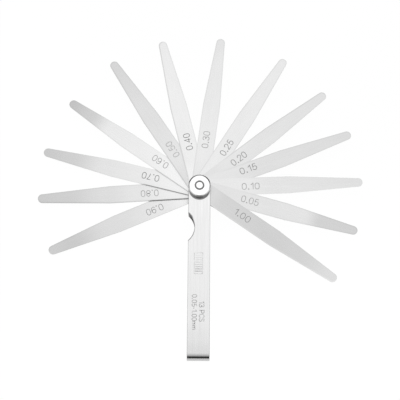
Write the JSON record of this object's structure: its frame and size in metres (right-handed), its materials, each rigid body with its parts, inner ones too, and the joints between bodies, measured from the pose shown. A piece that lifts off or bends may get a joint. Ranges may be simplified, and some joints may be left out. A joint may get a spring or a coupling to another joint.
{
  "type": "feeler gauge",
  "caption": "Feeler gauge: tapered round-tipped steel leaves fanned on one screw with a knurled nut, in a folded strip case with a thumb notch.",
  "frame": {"origin": "on the pivot axis, at the outer face of the pivot screw's slotted head, where the driver slot opens", "axes": "+Z along the pivot screw from its head to the knurled nut, which is up when the gauge lies on its back; the case runs along -Y from the pivot; +X to the right seen from the nut's side"},
  "size_m": [0.1995, 0.2043, 0.0137],
  "materials": {
    "case_steel": "satin, brushed along the strip",
    "leaf_steel": "ground and polished lengthwise, etched numbers",
    "screw_steel": "bright plated",
    "washer_steel": "bright plated",
    "nut_chrome": "bright plated, straight knurl"
  },
  "bodies": {
    "case": {"case": "case_steel", "pivot_screw": "screw_steel"},
    "washer": {"washer": "washer_steel"},
    "knurled_nut": {"knurled_nut": "nut_chrome"},
    "leaf_0_90": {"leaf_0_90": "leaf_steel"},
    "leaf_0_80": {"leaf_0_80": "leaf_steel"},
    "leaf_0_70": {"leaf_0_70": "leaf_steel"},
    "leaf_0_60": {"leaf_0_60": "leaf_steel"},
    "leaf_0_50": {"leaf_0_50": "leaf_steel"},
    "leaf_0_40": {"leaf_0_40": "leaf_steel"},
    "leaf_0_30": {"leaf_0_30": "leaf_steel"},
    "leaf_0_25": {"leaf_0_25": "leaf_steel"},
    "leaf_0_20": {"leaf_0_20": "leaf_steel"},
    "leaf_0_15": {"leaf_0_15": "leaf_steel"},
    "leaf_0_10": {"leaf_0_10": "leaf_steel"},
    "leaf_0_05": {"leaf_0_05": "leaf_steel"},
    "leaf_1_00": {"leaf_1_00": "leaf_steel"}
  },
  "joints": [
    {"name": "nut_lift", "type": "slide", "parent": "case", "child": "washer", "axis": [0, 0, 1], "range_m": [0, 0.0008]},
    {"name": "nut_turn", "type": "hinge", "parent": "washer", "child": "knurled_nut", "pos_m": [0, 0, 0.0119], "axis": [0, 0, 1], "range_deg": [0, 360]},
    {"name": "leaf_0_90_swing", "type": "hinge", "parent": "case", "child": "leaf_0_90", "pos_m": [0, 0, 0.00279], "axis": [0, 0, 1], "range_deg": [-293.5, 66.5]},
    {"name": "leaf_0_80_swing", "type": "hinge", "parent": "case", "child": "leaf_0_80", "pos_m": [0, 0, 0.00368], "axis": [0, 0, 1], "range_deg": [-273.9, 86.1]},
    {"name": "leaf_0_70_swing", "type": "hinge", "parent": "case", "child": "leaf_0_70", "pos_m": [0, 0, 0.00447], "axis": [0, 0, 1], "range_deg": [-256.4, 103.6]},
    {"name": "leaf_0_60_swing", "type": "hinge", "parent": "case", "child": "leaf_0_60", "pos_m": [0, 0, 0.00516], "axis": [0, 0, 1], "range_deg": [-235.6, 124.4]},
    {"name": "leaf_0_50_swing", "type": "hinge", "parent": "case", "child": "leaf_0_50", "pos_m": [0, 0, 0.00575], "axis": [0, 0, 1], "range_deg": [-214.1, 145.9]},
    {"name": "leaf_0_40_swing", "type": "hinge", "parent": "case", "child": "leaf_0_40", "pos_m": [0, 0, 0.00624], "axis": [0, 0, 1], "range_deg": [-194.3, 165.7]},
    {"name": "leaf_0_30_swing", "type": "hinge", "parent": "case", "child": "leaf_0_30", "pos_m": [0, 0, 0.00663], "axis": [0, 0, 1], "range_deg": [-172.5, 187.5]},
    {"name": "leaf_0_25_swing", "type": "hinge", "parent": "case", "child": "leaf_0_25", "pos_m": [0, 0, 0.00694], "axis": [0, 0, 1], "range_deg": [-147.9, 212.1]},
    {"name": "leaf_0_20_swing", "type": "hinge", "parent": "case", "child": "leaf_0_20", "pos_m": [0, 0, 0.00721], "axis": [0, 0, 1], "range_deg": [-128.3, 231.7]},
    {"name": "leaf_0_15_swing", "type": "hinge", "parent": "case", "child": "leaf_0_15", "pos_m": [0, 0, 0.00743], "axis": [0, 0, 1], "range_deg": [-110.7, 249.3]},
    {"name": "leaf_0_10_swing", "type": "hinge", "parent": "case", "child": "leaf_0_10", "pos_m": [0, 0, 0.00759], "axis": [0, 0, 1], "range_deg": [-92.5, 267.5]},
    {"name": "leaf_0_05_swing", "type": "hinge", "parent": "case", "child": "leaf_0_05", "pos_m": [0, 0, 0.00771], "axis": [0, 0, 1], "range_deg": [-74.4, 285.6]},
    {"name": "leaf_1_00_swing", "type": "hinge", "parent": "case", "child": "leaf_1_00", "pos_m": [0, 0, 0.00827], "axis": [0, 0, 1], "range_deg": [-55.3, 304.7]}
  ],
  "couplings": [
    {"joint": "nut_lift", "follows": "nut_turn", "m_per_rad": 0.00012732}
  ]
}
